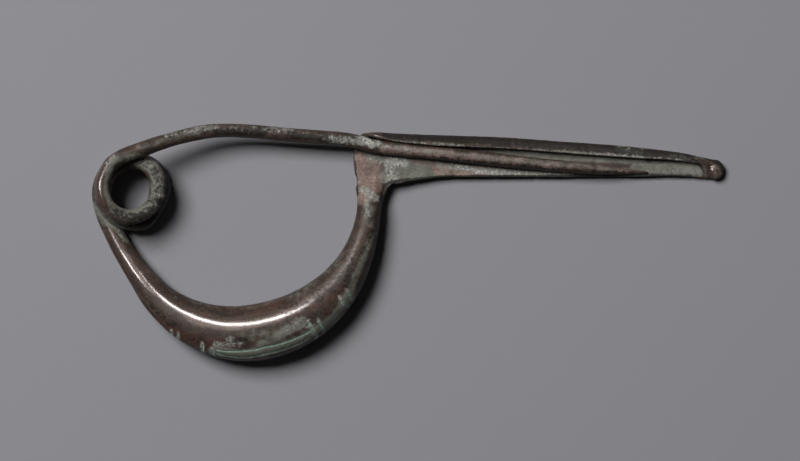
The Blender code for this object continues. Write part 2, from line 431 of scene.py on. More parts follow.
def makeFoot():
    run = smoothRun(foot["stations"], foot["perGap"], placeSize=1)
    marks = np.arange(run[0, 0], run[-1, 0] + 0.01, foot["spacing"])  # the last section counts too
    rows = np.column_stack([np.interp(marks, run[:, 0], column) for column in run.T])
    bm = bmesh.new()
    bentGrid(bm, np.array([footSection(row) for row in rows]))
    piece = newPiece("footSheet", bm)
    thick = piece.modifiers.new("thickness", "SOLIDIFY")
    thick.thickness = foot["thickness"]
    thick.offset = 0.0
    thick.use_even_offset = True
    rim = piece.modifiers.new("rounded rim", "BEVEL")
    rim.width = foot["rimRound"]
    rim.segments = foot["rimSegments"]
    rim.limit_method = "ANGLE"
    rim.angle_limit = math.radians(foot["rimAngle"])
    bakeModifiers(piece)
    return piece


def makeKnob():
    bm = bmesh.new()
    around, upwards = knob["segments"]
    ball = bmesh.ops.create_uvsphere(bm, u_segments=around, v_segments=upwards, radius=1.0)["verts"]
    bmesh.ops.scale(bm, vec=knob["halfSizes"], verts=ball)
    bmesh.ops.translate(bm, vec=knob["centre"], verts=ball)
    return newPiece("knobBall", bm)


def makeCollar():
    run = smoothRun([(*row, row[3]) for row in knob["collar"]], knob["collarPerGap"])
    angles = np.arange(knob["collarSides"] + 1) * math.tau / knob["collarSides"]
    bm = bmesh.new()
    bentGrid(bm, tubePlaces(run, np.tile(angles, (len(run), 1))))
    bmesh.ops.remove_doubles(bm, verts=bm.verts, dist=weldReach)
    bmesh.ops.holes_fill(bm, edges=bm.edges)
    return newPiece("knobCollar", bm)


def unite(piece, others):
    for other in others:
        join = piece.modifiers.new("join " + other.name, "BOOLEAN")
        join.operation = "UNION"
        join.solver = "EXACT"
        join.object = other
    bakeModifiers(piece)
    for other in others:
        bpy.data.objects.remove(other)


fibula = makeWire()
wireCuts = [item.value for item in fibula.data.attributes["incised"].data]
wirePoints = KDTree(len(wireCuts))
for index, point in enumerate(fibula.data.vertices):
    wirePoints.insert(point.co, index)
wirePoints.balance()
print("bow, spring and pin:", len(fibula.data.polygons), "faces")
unite(fibula, [makeFoot(), makeKnob(), makeCollar()])
fibula.name = "bronzeFibula"
print("joined with the foot:", len(fibula.data.polygons), "faces")


# surface: worn, pitted and crusted

patina = {  # brushed on from above: piece, radius, strength, path in x and y
    "crust": [
        ("wire", 0.7, 0.5, [(-40.6, 17.7), (-37.2, 18.5)]),
        ("wire", 0.9, 0.48, [(-37.3, 18.4), (-35, 18.9), (-32.1, 19.2)]),
        ("wire", 1, 0.30, [(-32.2, 19.1), (-24.3, 18.8)]),
        ("wire", 0.9, 0.47, [(-24.3, 18.8), (-19.7, 18.6)]),
        ("wire", 0.9, 0.33, [(-19.7, 18.4), (-13.7, 17.4)]),
        ("wire", 1.1, 0.62, [(-13.7, 17.2), (-9.7, 16.9), (-5.3, 16.6)]),
        ("wire", 0.7, 0.5, [(-5.3, 16.1), (3.7, 15.1)]),
        ("wire", 0.6, 0.38, [(3.7, 15.1), (25, 12.8)]),
        ("wire", 0.8, 0.46, [(-50.5, 12.3), (-50, 13.5), (-48.7, 14.5)]),
        ("wire", 0.5, 0.9, [(-41.8, 7.7), (-41, 7.7)]),
        ("wire", 0.8, 0.5, [(-48.1, 4.7), (-45.8, 4.4)]),
        ("wire", 0.6, 0.42, [(-44.8, 4.7), (-42.8, 6.1)]),
        ("wire", 0.6, 0.5, [(-49, 2.4), (-47.7, 0.4)]),
        ("wire", 0.8, 0.56, [(-32.7, -16.9), (-28.2, -16.8)]),
        ("wire", 0.6, 0.56, [(-30.3, -15.9), (-29.2, -15.9)]),
        ("wire", 1.1, 0.46, [(-21.3, -14.8), (-18.2, -13.1)]),
        ("wire", 0.9, 0.5, [(-17.7, -13.9), (-15, -14.2)]),
        ("wire", 0.8, 0.42, [(-11.7, -9.2), (-9.5, -8.1)]),
        ("wire", 0.9, 0.5, [(-7.2, 4.4), (-7.2, 8.4)]),
        ("wire", 1.0, 0.86, [(-8, 17.6), (-6.4, 16.2)]),
        ("wire", 0.5, 0.72, [(-39.7, -14.6), (-39.8, -15.4)]),
        ("wire", 0.5, 0.72, [(-38.5, -15.1), (-38.5, -15.8)]),
        ("wire", 0.6, 0.8, [(-34.6, -16.9), (-34.5, -18.1)]),
        ("wire", 0.6, 0.7, [(-32.9, -17.8), (-32.8, -18.9)]),
        ("wire", 0.5, 0.66, [(-16.9, -13), (-15.7, -15.8)]),
        ("wire", 0.5, 0.66, [(-15.2, -12.7), (-14.3, -15)]),
        ("wire", 0.5, 0.66, [(-11.7, -9.1), (-10.7, -10.8)]),
        ("wire", 0.5, 0.66, [(-10.6, -7.8), (-9.6, -9.6)]),
        ("foot", 1.4, 0.56, [(-6.4, 14.1), (-3.6, 13.7)]),
        ("foot", 1.5, 0.8, [(-3.4, 13.7), (-0.9, 13.5)]),
        ("all", 1.5, 0.62, [(-3.6, 12.6), (-2.7, 11), (-3.4, 10.4)]),
        ("all", 1.3, 0.6, [(-7.7, 8.8), (-5.7, 7.4)]),
        ("foot", 0.8, 0.58, [(4.7, 12.8), (8, 12.6)]),
        ("foot", 0.9, 0.8, [(8, 12.6), (11, 12.3)]),
        ("foot", 1.2, 0.8, [(11, 12.1), (27, 11.5)]),
        ("foot", 0.5, 0.42, [(25, 11.8), (48.4, 11.8)]),
        # pale crust specks along the lip's lower edge, partly a painted highlight on its rounded
        # rim
        ("foot", 0.45, 0.5, [(-5, 16.9), (10, 16.1)]),
        ("foot", 0.4, 0.44, [(10, 15.9), (24, 15.2)]),
        ("foot", 0.5, 0.52, [(24, 15.2), (46.7, 13.9)]),
        ("foot", 0.7, 0.62, [(43.6, 14.3), (45.9, 14.3)]),
    ],
    "film": [
        ("wire", 1.7, 0.78, [
            (-46, 13.7), (-43.1, 12.9), (-41.8, 10.4), (-42, 7.9), (-43.1, 6.1), (-44.8, 5.1),
            (-47.3, 4.9), (-49.1, 5.7)]),
        ("wire", 1.1, 0.8, [(-52.8, 6.2), (-51, 3.6), (-47.7, 2.4), (-44.8, 2.8)]),
        ("wire", 0.8, 0.5, [(-49.4, 13.3), (-46.7, 14.3)]),
        ("wire", 0.9, 0.74, [(-48.6, 13.8), (-49.7, 12.6), (-50, 10.3), (-50, 7.9), (-49, 5.7)]),
        ("wire", 0.7, 0.5, [(-51.6, 13.3), (-52.6, 11), (-52.8, 8.5), (-52.4, 6.2)]),
        ("wire", 0.9, 0.42, [(-44.8, 15.8), (-34.8, 18.5)]),
        ("wire", 0.8, 0.6, [(-49.1, 2.8), (-47.1, 0.4)]),
        ("wire", 1.2, 0.92, [
            (-32.7, -17.9), (-28.3, -18.6), (-24.3, -18.2), (-18.3, -16.2), (-12.7, -12.8),
            (-10, -8.6)]),
        ("wire", 1.4, 0.66, [(-24.7, -17.1), (-21.3, -15.2), (-17.8, -13.2)]),
        ("wire", 1.4, 0.38, [(-27.3, -15.2), (-23, -15.2)]),
        ("wire", 1, 0.6, [(-9.8, -7.6), (-8, -3.2), (-6.3, 1.1)]),
        ("wire", 1.5, 0.44, [(-6.6, 8.4), (-6.7, 3.4)]),
        ("wire", 1.4, 0.36, [
            (-43.1, -4.2), (-34.8, -9.9), (-26.6, -10.4), (-18.3, -8), (-11.6, -2.6)]),
        ("foot", 2.2, 0.9, [(-1.7, 12.8), (6, 12.4)]),
        ("all", 1.3, 0.8, [(-4.4, 11), (-2.9, 10.3), (0, 10.9), (3.5, 11.2)]),
        ("wire", 0.9, 0.46, [(-2, 15.6), (12, 14.3), (36, 12.2)]),
        ("foot", 1.2, 0.6, [(-7.6, 14.4), (-3.5, 14.4)]),
        ("foot", 1.5, 1, [(37.8, 12.5), (48.4, 12.2)]),
        ("foot", 1.1, 0.85, [(11.7, 15.1), (38.5, 13.8)]),
        ("foot", 1.3, 0.85, [(8, 11.9), (38.4, 11.5)]),
        ("foot", 1.1, 0.84, [(35, 15.6), (38.4, 15.2)]),
        ("foot", 1.1, 0.4, [(51.2, 12.2), (51.6, 11.3)]),
    ],
    "cuprite": [
        ("wire", 1.6, 0.8, [(-47, -8.9), (-43.3, -12.6), (-38.3, -15.6)]),
        ("wire", 1.5, 0.72, [(-38.3, -15.6), (-34.2, -16.8), (-29.7, -17.1)]),
        ("wire", 2, 0.6, [(-32.5, -9.9), (-25, -10.9), (-20.8, -10.2)]),
        ("wire", 1.3, 0.58, [(-18.7, -11.8), (-14.7, -10.2), (-10.7, -7.6)]),
        ("wire", 0.9, 0.55, [(-9.3, -3.2), (-7, 2.8)]),
        ("wire", 0.8, 0.5, [(-47.5, 15.3), (-42.8, 16.5)]),
        ("wire", 1.1, 0.48, [(-51, 0.1), (-46.7, -6.6)]),
    ],
    "rose": [
        ("all", 2.2, 0.86, [(-8.4, 13.6), (-8.1, 10.1), (-7.9, 7.8)]),
        ("all", 1.9, 0.78, [(-6.5, 12.8), (-5.7, 9.4)]),
        ("foot", 1.2, 0.62, [(0.7, 13.9), (6, 12.8)]),
        ("foot", 1.3, 0.95, [(4.5, 12.1), (25, 11.6)]),
        ("foot", 1.2, 0.36, [(50.5, 12.8), (52, 11.3)]),
        ("wire", 1.1, 0.74, [(-4.3, 15.6), (5.3, 14.8)]),
        ("wire", 1.1, 0.5, [(5.3, 14.8), (25, 12.8)]),
        ("wire", 1, 0.4, [(25, 12.8), (38.4, 11.9)]),
    ],
    # near-black coat: black pits and dark patina, and also painted shade where a stroke stands in
    # for shade on edges, in gaps between turns and on sides turned from the light
    "sootAndShade": [
        ("wire", 1.2, 0.34, [(-50, 14), (-45, 16.3), (-37, 18.5), (-24, 18.3), (-8, 16.8)]),
        # darker along the bow's inner edge: partly dark patina, partly painted shade for the dark
        # reflection on that side
        ("wire", 1.6, 0.3, [(-43.1, -5), (-34.8, -10.4), (-26.6, -11), (-18.3, -8.4), (-11.6, -3)]),
        ("wire", 1, 0.68, [(-32, 18.4), (-24.3, 18.2)]),
        ("wire", 1, 0.7, [(-20, 17.9), (-13.7, 17.1)]),
        ("wire", 0.5, 0.95, [(-42.1, 7.1), (-40.8, 6.1)]),
        # painted shade in the gap between the spring's turns along its right side
        ("wire", 0.6, 0.8, [(-40.4, 10.4), (-40.4, 7.3), (-41.5, 4.9), (-43.6, 3.4), (-46.6, 3)]),
        # painted shade along the spring's outer left edge
        ("wire", 0.6, 0.6, [(-51.2, 13.9), (-52.4, 11.9), (-52.9, 9), (-52.5, 6.4)]),
        # painted shade along the plate's near edge and its rounded rim
        ("foot", 0.4, 0.95, [
            (-4.6, 9.2), (-3.4, 10), (-1.7, 10.3), (5, 10.95), (18, 11.05), (39, 11.05),
            (47, 11.1)]),
        # painted shade in the crease at the foot of the knob's collar
        ("foot", 0.3, 0.95, [(47.8, 13.6), (48.8, 12.7), (49.3, 11.7)]),
        # painted shade over the knob's far rim, the side turned from the light
        ("foot", 0.7, 0.9, [(48.6, 14.5), (51.2, 13.9), (52.6, 12.9), (52.7, 11.6)]),
        # darker over the spring's right side and bottom: dark pits, and painted shade that tones
        # these lit sides down
        ("wire", 1.5, 0.48, [(-46, 13.7), (-43.1, 12.9), (-41.8, 10.4), (-42, 7.9), (-43.1, 6.1)]),
        ("wire", 1.1, 0.68, [(-43.1, 5.7), (-44.8, 4.4), (-47.3, 4.4), (-49.4, 5.2)]),
        ("wire", 0.8, 0.5, [(-43.7, -9.6), (-39.7, -13.9)]),
        # darker along the outer edge of the bow's limb beside the spring
        ("wire", 1.1, 0.46, [(-52.2, 1), (-49.8, -3.9), (-46.4, -9), (-42.8, -12.8)]),
        ("wire", 0.7, 0.5, [(-36.7, -15.8), (-34, -16.6)]),
        ("wire", 0.8, 0.56, [(-29.2, -16.1), (-27.3, -16.1)]),
        ("wire", 1, 0.44, [(-21.7, -10.6), (-14.7, -9.2)]),
        ("wire", 0.8, 0.56, [(-10.8, -7.2), (-9.5, -2.9)]),
        ("wire", 0.6, 0.55, [(-8, -1.6), (-6.2, 1.8)]),
        # painted shade on the lower side of the pin, partly dark patina
        ("wire", 0.7, 0.40, [(-2, 14.9), (5, 13.9)]),
        ("wire", 0.8, 0.56, [(5, 13.9), (25, 11.9), (38, 11.4)]),
        # darker over the lip of the trough
        ("foot", 1.1, 0.78, [(-4, 18), (11.7, 17.1), (31.7, 15.8), (48.3, 14.2)]),
        # painted shade along the plate's left edge
        ("all", 0.45, 0.8, [(-9.5, 14.9), (-9.1, 11), (-8.9, 8)]),
    ],
    "polish": [
        ("wire", 0.75, 1, [
            (-50.7, 12.7), (-51.5, 10.7), (-51.7, 9.2), (-51.5, 8), (-51, 6.9), (-50, 5.4),
            (-49.4, 4.6)]),
        ("wire", 0.7, 0.5, [(-51.8, 4.1), (-50.8, 2.8)]),
        ("wire", 1, 0.62, [(-50.4, 2.2), (-47.2, -2.6)]),
        ("wire", 1, 1, [
            (-47.2, -2.6), (-45, -5.2), (-43, -7.3), (-40.8, -9.1), (-38.8, -10.6), (-36.5, -12)]),
        ("wire", 1.4, 1, [
            (-36.5, -12.1), (-34, -13), (-31.5, -13.4), (-29, -13.5), (-26.5, -13.2),
            (-24, -12.7), (-21.5, -12)]),
        ("wire", 1.2, 0.62, [(-21.5, -12), (-18.8, -10.9), (-16.5, -9.4)]),
        ("wire", 1, 0.36, [(-16.5, -9.4), (-13, -6.4), (-10.5, -3), (-8.6, 1.5)]),
        ("foot", 0.8, 1, [(-6.7, 17.5), (-3.9, 17)]),
        ("foot", 0.9, 1, [(48, 14.1), (49.3, 13.4), (50.3, 12.2)]),
    ],
}
brush = {
    "firmness": 1.6,  # how soon a stroke is full inside its rim
    "upFrom": -0.15,  # strokes reach down the sides to where the surface faces this far up
    "upBlend": 0.3,
    "looseScale": 0.16,
    "looseBase": 0.3,
    "looseSwing": 0.6,
    "looseMost": 0.75,
    "seedStep": 7.3,
    "polishClears": 0.6,  # share of each coat that is rubbed away where the metal is polished
}
relief = {
    "joinWeld": 0.0001,  # merges what the joining left doubled
    "wireReach": 0.01,  # points this close to the wire's mesh belong to it
    "seamBox": ((-11, 5), (-2, 11.5)),  # low and high x and y round the seam of neck and plate
    "seamReach": 1.3,
    "seamCore": 0.6,
    "knobSeam": (48.6, 50.6),
    "knobSeamFrom": 0.5,
    "smoothings": (6, 8, 9),  # round the neck's seam, close to it, at the knob
    "lean": 0.09,  # the plate's free end leans in towards the bow
    "leanFrom": 15.0,
    "leanTo": 9.3,
    "leanX": -6.5,
    "leanBlend": (2.5, 1.5),
    "leanReach": 4.2,
    "noises": ((0.38, 11.0), (1.1, 23.0), (2.6, 31.0), (1.7, 47.0)),  # hammered, worn, grain, pits
    "hammered": 0.024,
    "hammeredBase": 0.5,  # keeps the waves under the smooth shape
    "worn": 0.006,
    "wornBase": 0.4,
    "wornUnderFilm": 4,
    "crustLift": 0.075,
    "crustFrom": 0.35,
    "crustGrain": 0.5,
    "crustMost": 0.8,
    "pitDepth": 0.10,
    "pitFrom": 0.30,  # the higher, the fewer pits
    "pitBlend": 0.12,
    "pitsInCuprite": 0.5,
    "pitsOffPolish": 2,
    "calmInCuts": 0.7,  # share of all this that the incised lines are spared
}


def softenSeam(bm, onWire):
    # the neck of the bow flows into the plate, and the lip of the trough into the knob
    (lowX, lowY), (highX, highY) = relief["seamBox"]
    seam = [v.co.copy() for e in bm.edges for v in e.verts
            if onWire[e.verts[0].index] != onWire[e.verts[1].index]
            and lowX < v.co.x < highX and lowY < v.co.y < highY]
    tree = KDTree(len(seam))
    for index, place in enumerate(seam):
        tree.insert(place, index)
    tree.balance()
    reach = relief["seamReach"]
    wide = [v for v in bm.verts if tree.find(v.co)[2] < reach]
    narrow = [v for v in wide if tree.find(v.co)[2] < reach * relief["seamCore"]]
    start, end = relief["knobSeam"]
    atKnob = [v for v in bm.verts if start < v.co.x < end and v.co.z > relief["knobSeamFrom"]]
    for near, times in zip((wide, narrow, atKnob), relief["smoothings"]):
        for time in range(times):
            bmesh.ops.smooth_vert(
                bm, verts=near, factor=0.5, use_axis_x=True, use_axis_y=True, use_axis_z=True)


def leanPlate(bm, onWire):
    low, high = relief["leanTo"], relief["leanFrom"]
    blendX, blendY = relief["leanBlend"]
    for point, isWire in zip(bm.verts, onWire):
        if isWire or point.co.x >= relief["leanX"] or not low < point.co.y < high:
            continue
        sideways = min((relief["leanX"] - point.co.x) / blendX, 1)
        upwards = min((point.co.y - low) / blendY, 1)
        reach = min(high - point.co.y, relief["leanReach"])
        point.co.x += relief["lean"] * (sideways * upwards) * reach


def distanceToPath(places, path):
    nearest = np.full(len(places), 1e9)
    for start, end in zip(np.array(path[:-1]), np.array(path[1:])):
        way = end - start
        share = np.clip(((places - start) @ way) / (way @ way), 0, 1)
        gaps = np.linalg.norm(places - start - share[:, None] * way, axis=1)
        nearest = np.minimum(nearest, gaps)
    return nearest


def noiseAt(places, scale, seed):
    shift = Vector((seed, seed, seed))
    return np.array([noise.noise(Vector(place) * scale + shift) for place in places])


def brushed(kind, places, facing, onWire, seed):
    # 0 to 1; the strokes cover what faces up, loose patches cover the rest
    value = np.zeros(len(places))
    for piece, radius, strength, path in patina[kind]:
        side = {"wire": onWire, "foot": ~onWire, "all": 1}[piece]
        depth = (1 - distanceToPath(places[:, :2], path) / radius) * brush["firmness"]
        value = np.maximum(value, strength * np.clip(depth, 0, 1) * side)
    above = np.clip((facing - brush["upFrom"]) / brush["upBlend"], 0, 1)
    if kind == "polish":
        return value * above
    clouds = noiseAt(places, brush["looseScale"], seed)
    loose = np.clip(brush["looseBase"] + brush["looseSwing"] * clouds, 0, brush["looseMost"])
    return value * above + loose * (1 - above)


def liftAt(places, paint, cut):
    # how far each point stands out of the smooth shape
    hammered, worn, grain, pits = (noiseAt(places, *settings) for settings in relief["noises"])
    pits = np.clip((pits - relief["pitFrom"]) / relief["pitBlend"], 0, 1)
    lift = -relief["hammered"] * (relief["hammeredBase"] + hammered)
    underFilm = 1 + relief["wornUnderFilm"] * paint["film"]
    lift -= relief["worn"] * (relief["wornBase"] + worn) * underFilm
    crust = paint["crust"] - relief["crustFrom"] + relief["crustGrain"] * grain
    lift += relief["crustLift"] * np.clip(crust, 0, relief["crustMost"])
    pitted = paint["sootAndShade"] + relief["pitsInCuprite"] * paint["cuprite"]
    pitted = pitted - cut - relief["pitsOffPolish"] * paint["polish"]
    lift -= relief["pitDepth"] * pits * np.clip(pitted, 0, 1)
    return lift * (1 - relief["calmInCuts"] * cut)


def finishMesh(piece):
    bm = bmesh.new()
    bm.from_mesh(piece.data)
    bmesh.ops.remove_doubles(bm, verts=bm.verts, dist=relief["joinWeld"])
    bm.verts.index_update()
    nearest = [wirePoints.find(v.co) for v in bm.verts]
    onWire = np.array([gap < relief["wireReach"] for place, index, gap in nearest])
    cut = np.array([wireCuts[index] for place, index, gap in nearest]) * onWire
    leanPlate(bm, onWire)
    softenSeam(bm, onWire)
    bm.normal_update()
    places = np.array([v.co[:] for v in bm.verts])
    normals = np.array([v.normal[:] for v in bm.verts])
    paint = {kind: brushed(kind, places, normals[:, 2], onWire, brush["seedStep"] * index)
             for index, kind in enumerate(patina)}
    for kind in ("crust", "film", "cuprite", "rose", "sootAndShade"):
        paint[kind] *= 1 - brush["polishClears"] * paint["polish"] ** 2

    places += normals * liftAt(places, paint, cut)[:, None]
    low, high = (np.array(corner) / mm for corner in cadBox)
    places = np.clip(places, low, high)  # worn flats that it rests on
    for point, place in zip(bm.verts, places):
        point.co = place * mm
    bm.to_mesh(piece.data)
    bm.free()
    paint["incised"] = np.clip(cut * ornament["greenFill"], 0, 1)
    piece.data.attributes.remove(piece.data.attributes["incised"])
    for kind, value in paint.items():
        layer = piece.data.attributes.new(kind, "FLOAT", "POINT")
        layer.data.foreach_set("value", value.astype(np.float32))
    piece.data.shade_smooth()


finishMesh(fibula)
print("surface finished:", len(fibula.data.polygons), "faces")


# patina: node groups and the metal

def newGroup(name, inputs, outputs):
    tree = bpy.data.node_groups.new(name, "ShaderNodeTree")
    for label, kind, value in inputs:
        socket = tree.interface.new_socket(name=label, in_out="INPUT", socket_type=kind)
        if value is not None:
            socket.default_value = value
    for label, kind in outputs:
        tree.interface.new_socket(name=label, in_out="OUTPUT", socket_type=kind)
    return tree, tree.nodes.new("NodeGroupInput").outputs, tree.nodes.new("NodeGroupOutput").inputs


def addNode(tree, kind, settings=None, values=None, links=None):
    node = tree.nodes.new(kind)
    for key, value in (settings or {}).items():
        setattr(node, key, value)
    for key, value in (values or {}).items():
        node.inputs[key].default_value = value
    for key, socket in (links or {}).items():
        tree.links.new(socket, node.inputs[key])
    return node


def fillSocket(tree, socket, value):
    # value is another node's output, a number or a colour
    if isinstance(value, bpy.types.NodeSocket):
        tree.links.new(value, socket)
    else:
        socket.default_value = value


def addMath(tree, operation, first, second, clamp=False):
    node = addNode(tree, "ShaderNodeMath", {"operation": operation, "use_clamp": clamp})
    fillSocket(tree, node.inputs[0], first)
    fillSocket(tree, node.inputs[1], second)
    return node.outputs[0]


def addMix(tree, factor, first, second, kind="RGBA"):
    firstInput, output = {"RGBA": (6, 2), "FLOAT": (2, 0)}[kind]
    node = addNode(tree, "ShaderNodeMix", {"data_type": kind}, links={0: factor})
    fillSocket(tree, node.inputs[firstInput], first)
    fillSocket(tree, node.inputs[firstInput + 1], second)
    return node.outputs[output]


def addRange(tree, socket, low, high, toLow=0.0, toHigh=1.0, smooth=True):
    kind = "SMOOTHSTEP" if smooth else "LINEAR"
    values = {"From Min": low, "From Max": high, "To Min": toLow, "To Max": toHigh}
    node = addNode(
        tree, "ShaderNodeMapRange", {"interpolation_type": kind}, values, {"Value": socket})
    return node.outputs["Result"]


def makeBrokenPatch():
    tree, given, result = newGroup(
        "brokenPatch",
        [("Position", "NodeSocketVector", None), ("Paint", "NodeSocketFloat", 0.0),
         ("Scale", "NodeSocketFloat", 1.5), ("Ragged", "NodeSocketFloat", 1.2),
         ("Soft", "NodeSocketFloat", 0.1)],
        [("Mask", "NodeSocketFloat")])
    clouds = addNode(tree, "ShaderNodeTexNoise", values={"Detail": 5.0, "Roughness": 0.65},
                     links={"Vector": given["Position"], "Scale": given["Scale"]})
    centred = addMath(tree, "SUBTRACT", clouds.outputs["Fac"], 0.5)
    ragged = addMath(tree, "MULTIPLY", centred, given["Ragged"])
    mask = addNode(tree, "ShaderNodeMapRange", {"interpolation_type": "SMOOTHSTEP"}, links={
        "Value": addMath(tree, "ADD", given["Paint"], ragged),
        "From Min": addMath(tree, "SUBTRACT", 0.5, given["Soft"]),
        "From Max": addMath(tree, "ADD", 0.5, given["Soft"])})
    tree.links.new(mask.outputs["Result"], result["Mask"])
    return tree


def makeMottle():
    tree, given, result = newGroup(
        "patinaMottle",
        [("Position", "NodeSocketVector", None), ("Scale", "NodeSocketFloat", 0.5)],
        [("Broad", "NodeSocketFloat"), ("Fine", "NodeSocketFloat")])
    broad = addNode(tree, "ShaderNodeTexNoise",
                    values={"Detail": 6.0, "Roughness": 0.62, "Distortion": 0.4},
                    links={"Vector": given["Position"], "Scale": given["Scale"]})
    tree.links.new(addRange(tree, broad.outputs["Fac"], 0.36, 0.66), result["Broad"])
    fineScale = addMath(tree, "MULTIPLY", given["Scale"], 5.0)
    fine = addNode(tree, "ShaderNodeTexNoise", values={"Detail": 4.0, "Roughness": 0.7},
                   links={"Vector": given["Position"], "Scale": fineScale})
    tree.links.new(addRange(tree, fine.outputs["Fac"], 0.32, 0.70), result["Fine"])
    return tree


def makeCrustGrain():
    tree, given, result = newGroup(
        "crustGrain",
        [("Position", "NodeSocketVector", None), ("Scale", "NodeSocketFloat", 2.4)],
        [("Height", "NodeSocketFloat"), ("Light", "NodeSocketFloat")])
    cells = addNode(tree, "ShaderNodeTexVoronoi", {"feature": "SMOOTH_F1"}, {"Smoothness": 0.6},
                    {"Vector": given["Position"], "Scale": given["Scale"]})
    cloudScale = addMath(tree, "MULTIPLY", given["Scale"], 0.7)
    clouds = addNode(tree, "ShaderNodeTexNoise", values={"Detail": 3.0, "Roughness": 0.7},
                     links={"Vector": given["Position"], "Scale": cloudScale})
    lumps = addMath(tree, "SUBTRACT", 0.8, cells.outputs["Distance"])
    height = addMath(tree, "MULTIPLY", addMath(tree, "ADD", lumps, clouds.outputs["Fac"]), 0.6)
    tree.links.new(height, result["Height"])
    tree.links.new(addRange(tree, height, 0.45, 0.80), result["Light"])
    return tree


bronze = {
    "brown": ((0.026, 0.019, 0.015, 1), (0.108, 0.072, 0.055, 1)),  # dark and light of each coat
    "bare": ((0.100, 0.066, 0.052, 1), (0.165, 0.118, 0.095, 1)),
    "cuprite": ((0.060, 0.022, 0.014, 1), (0.100, 0.048, 0.032, 1)),
    "rose": ((0.170, 0.112, 0.092, 1), (0.42, 0.30, 0.255, 1)),
    "film": ((0.125, 0.127, 0.104, 1), (0.270, 0.270, 0.226, 1)),
    "crust": ((0.235, 0.228, 0.198, 1), (0.79, 0.785, 0.72, 1)),
    "verdigris": ((0.24, 0.33, 0.26, 1), (0.58, 0.76, 0.63, 1)),
    # near-black of pits and dark patina, also used as painted shade
    "sootAndShade": (0.016, 0.013, 0.011, 1),
    "patches": {  # scale, raggedness and softness of each coat's edge
        "cuprite": (0.9, 1.4, 0.28),
        "rose": (0.7, 1.3, 0.38),
        "film": (0.9, 1.3, 0.34),
        "crust": (1.9, 2.3, 0.30),
        "sootAndShade": (1.7, 1.9, 0.12),
        "incised": (3.0, 0.7, 0.30),
    },
    "mottleScale": 0.45,
    "grainScale": 2.4,
    "cover": {"cuprite": 0.8, "film": 0.92, "rose": (0.72, 0.95), "sootAndShade": 0.85},
    "polishGain": 1.6,
    "polishDulled": 0.6,
    "crustThickness": (0.3, 0.9, 0.35, 1.0),  # paint from and to, paleness from and to
    "crustBase": 0.35,
    "crustDarker": 0.12,
    "roughness": {
        "brown": (0.46, 0.58), "cuprite": 0.58, "rose": 0.50, "film": 0.60, "crust": 0.85,
        "polish": 0.24, "incised": 0.8,
    },
    "metallic": (0.04, 0.45),
    "ior": 1.43,
    "coatRoughness": 0.16,
    "coatIor": 1.95,
    "bump": {"brown": 0.20, "bare": 0.012, "film": 0.25, "crust": 0.8, "sootAndShade": 0.3},
    "bumpDistance": 0.09,
    "bumpScale": 3.2,
}


def addPaint(tree, kind):
    return addNode(tree, "ShaderNodeAttribute", {"attribute_name": kind}).outputs["Fac"]


def addGroup(tree, group, position, values, paint=None):
    links = {"Position": position} if paint is None else {"Position": position, "Paint": paint}
    return addNode(tree, "ShaderNodeGroup", {"node_tree": group}, values, links).outputs


def addPatches(tree, position):
    group = makeBrokenPatch()
    masks = {}
    for kind, (scale, ragged, soft) in bronze["patches"].items():
        values = {"Scale": scale, "Ragged": ragged, "Soft": soft}
        masks[kind] = addGroup(tree, group, position, values, addPaint(tree, kind))["Mask"]
    return masks


def addColour(tree, masks, mottle, grain):
    # coats from the metal up, each over the ones before
    cover = bronze["cover"]
    cloudy = addMath(tree, "MULTIPLY", addMath(tree, "ADD", mottle["Broad"], mottle["Fine"]), 0.5)
    thick = addRange(tree, addPaint(tree, "crust"), *bronze["crustThickness"])
    light = addMath(tree, "ADD", grain["Light"], bronze["crustBase"])
    paleness = addMath(tree, "MULTIPLY", light, thick)
    paleness = addMath(tree, "SUBTRACT", paleness, bronze["crustDarker"], clamp=True)
    broken = addRange(tree, mottle["Fine"], 0.0, 1.0, *cover["rose"], smooth=False)
    coats = (
        (addMath(tree, "MULTIPLY", masks["cuprite"], cover["cuprite"]), "cuprite", mottle["Fine"]),
        (masks["polish"], "bare", mottle["Fine"]),
        (addMath(tree, "MULTIPLY", masks["film"], cover["film"]), "film", cloudy),
        (addMath(tree, "MULTIPLY", masks["rose"], broken), "rose", cloudy),
        (masks["crust"], "crust", paleness),
    )
    colour = addMix(tree, cloudy, *bronze["brown"])
    for mask, kind, tone in coats:
        colour = addMix(tree, mask, colour, addMix(tree, tone, *bronze[kind]))
    # near-black coat on top: pits and dark patina, and painted shade where the strokes put it
    sootAndShadeCover = addMath(tree, "MULTIPLY", masks["sootAndShade"], cover["sootAndShade"])
    colour = addMix(tree, sootAndShadeCover, colour, bronze["sootAndShade"])
    mint = addMix(tree, grain["Light"], *bronze["verdigris"])
    return addMix(tree, masks["incised"], colour, mint)


def addRoughness(tree, masks, mottle):
    rough = addRange(tree, mottle["Fine"], 0.0, 1.0, *bronze["roughness"]["brown"], smooth=False)
    for kind in ("cuprite", "rose", "film", "crust", "polish", "incised"):
        rough = addMix(tree, masks[kind], rough, bronze["roughness"][kind], "FLOAT")
    return rough


